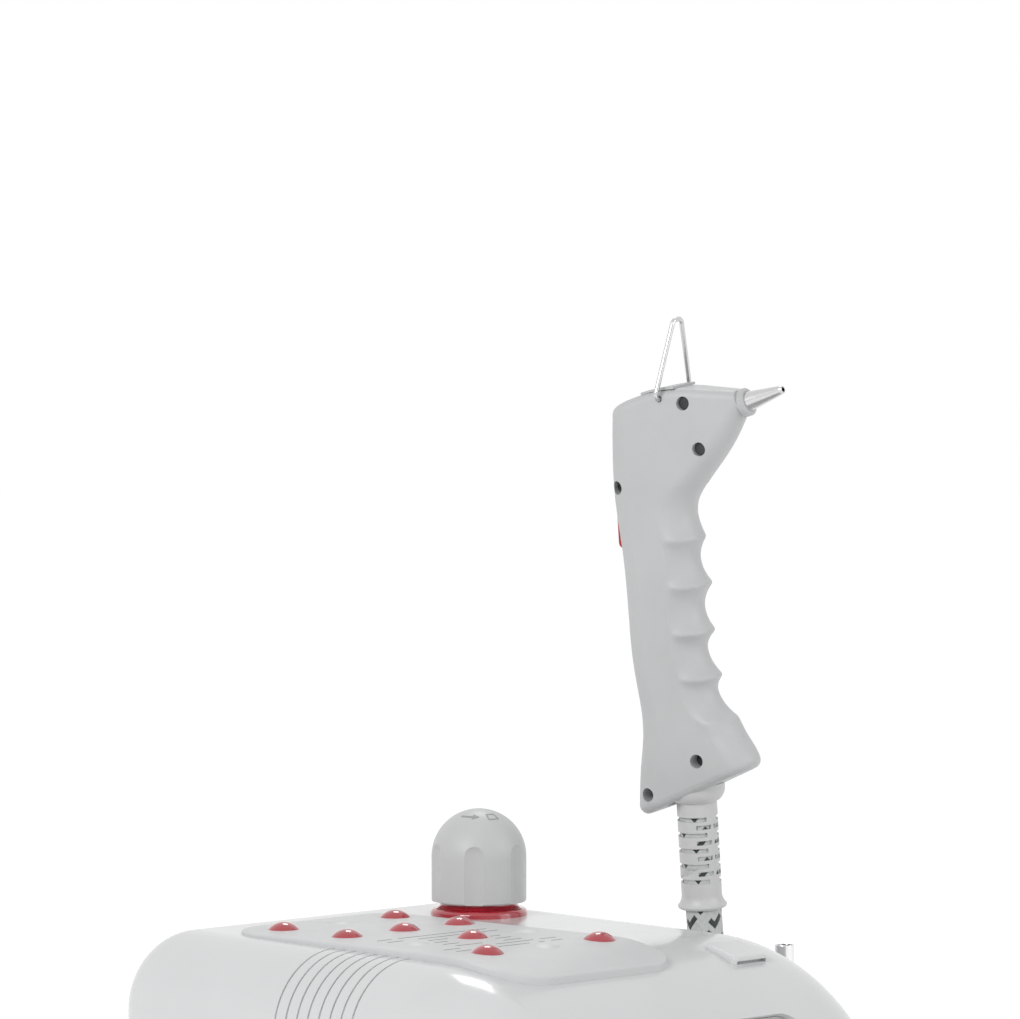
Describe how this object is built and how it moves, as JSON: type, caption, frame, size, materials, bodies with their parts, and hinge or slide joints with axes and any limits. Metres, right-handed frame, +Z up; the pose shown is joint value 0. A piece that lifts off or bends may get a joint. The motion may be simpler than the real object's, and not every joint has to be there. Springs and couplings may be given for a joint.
{
  "type": "garment steamer",
  "caption": "Steam generator base with a studded iron rest, a fluted filler cap and a steam gun that stands above it on a braided hose, for steaming and refreshing clothes.",
  "frame": {"origin": "on the floor, under the middle of the base housing", "axes": "+Z up, -Y to the front with the control panel, +X to the right, where the hose and the gun are"},
  "size_m": [0.4536, 0.3819, 0.4956],
  "materials": {
    "white_shell": "gloss",
    "grey_pad": "satin",
    "red_silicone": "satin",
    "grey_cap": "satin",
    "dark_plastic": "matte",
    "red_rocker": "gloss",
    "amber_lens": "gloss",
    "green_lens": "gloss",
    "chrome": "polished",
    "grey_gun": "matte",
    "pale_collar": "satin",
    "steel": "brushed",
    "brass": "satin",
    "braid": "woven",
    "rubber": "matte"
  },
  "bodies": {
    "base": {"base_screws": "steel", "base_tray": "white_shell", "boiler_brackets": "steel", "boiler_tank": "steel", "clip_plate": "white_shell", "control_panel": "grey_pad", "drain_plug": "brass", "feet": "rubber", "filler_collar": "red_silicone", "filler_neck": "brass", "heating_element": "steel", "heating_lamp": "amber_lens", "hose_coil": "braid", "hose_gland": "pale_collar", "hose_riser": "braid", "hose_tail": "braid", "hose_tie": "dark_plastic", "iron_rest_pad": "grey_pad", "mains_gland": "dark_plastic", "outlet_pipe": "steel", "pressure_switch": "dark_plastic", "ready_lamp": "green_lens", "rest_studs": "red_silicone", "safety_valve": "brass", "socket_clamps": "white_shell", "solenoid_valve": "brass", "steam_pipe": "steel", "strain_relief": "pale_collar", "support_socket": "chrome", "switch_frame": "dark_plastic", "swivel_collar": "pale_collar", "terminal_block": "dark_plastic", "thermostat": "brass", "top_shell": "white_shell"},
    "gun": {"gun_shell_left": "grey_gun", "gun_shell_right": "grey_gun", "gun_screws": "steel", "microswitch": "dark_plastic", "gun_steam_pipe": "steel", "nozzle": "chrome", "nozzle_ring": "grey_gun", "loop_saddle": "grey_gun"},
    "trigger": {"trigger_button": "red_silicone"},
    "loop": {"hanging_loop": "chrome"},
    "cap_plug": {"cap_plug": "dark_plastic"},
    "cap_knob": {"cap_knob": "grey_cap"},
    "rocker": {"switch_rocker": "red_rocker"}
  },
  "joints": [
    {"name": "gun_swivel", "type": "hinge", "parent": "base", "child": "gun", "pos_m": [0.13025, 0.02356, 0.279], "axis": [-0.1047, -0.0248, 0.9942], "range_deg": [-175, 175]},
    {"name": "trigger_press", "type": "slide", "parent": "gun", "child": "trigger", "axis": [0.2077, -0.9782, -0.0025], "range_m": [0, 0.0025], "stiffness_N_per_m": 300, "springref_m": -0.002},
    {"name": "loop_fold", "type": "hinge", "parent": "gun", "child": "loop", "pos_m": [0.11104, 0.02004, 0.45955], "axis": [0.9726, 0.2062, 0.1075], "range_deg": [-60, 50]},
    {"name": "cap_lift", "type": "slide", "parent": "base", "child": "cap_plug", "axis": [0, 0, 1], "range_m": [0, 0.012]},
    {"name": "cap_turn", "type": "hinge", "parent": "cap_plug", "child": "cap_knob", "pos_m": [0.0438, 0.0764, 0.25], "axis": [0, 0, 1], "range_deg": [0, 1440.5]},
    {"name": "switch_rock", "type": "hinge", "parent": "base", "child": "rocker", "pos_m": [-0.03, -0.118, 0.17312], "axis": [0, -0.5105, -0.8599], "range_deg": [0, 16]}
  ],
  "couplings": [
    {"joint": "cap_turn", "follows": "cap_lift", "rad_per_m": 2094.4}
  ]
}
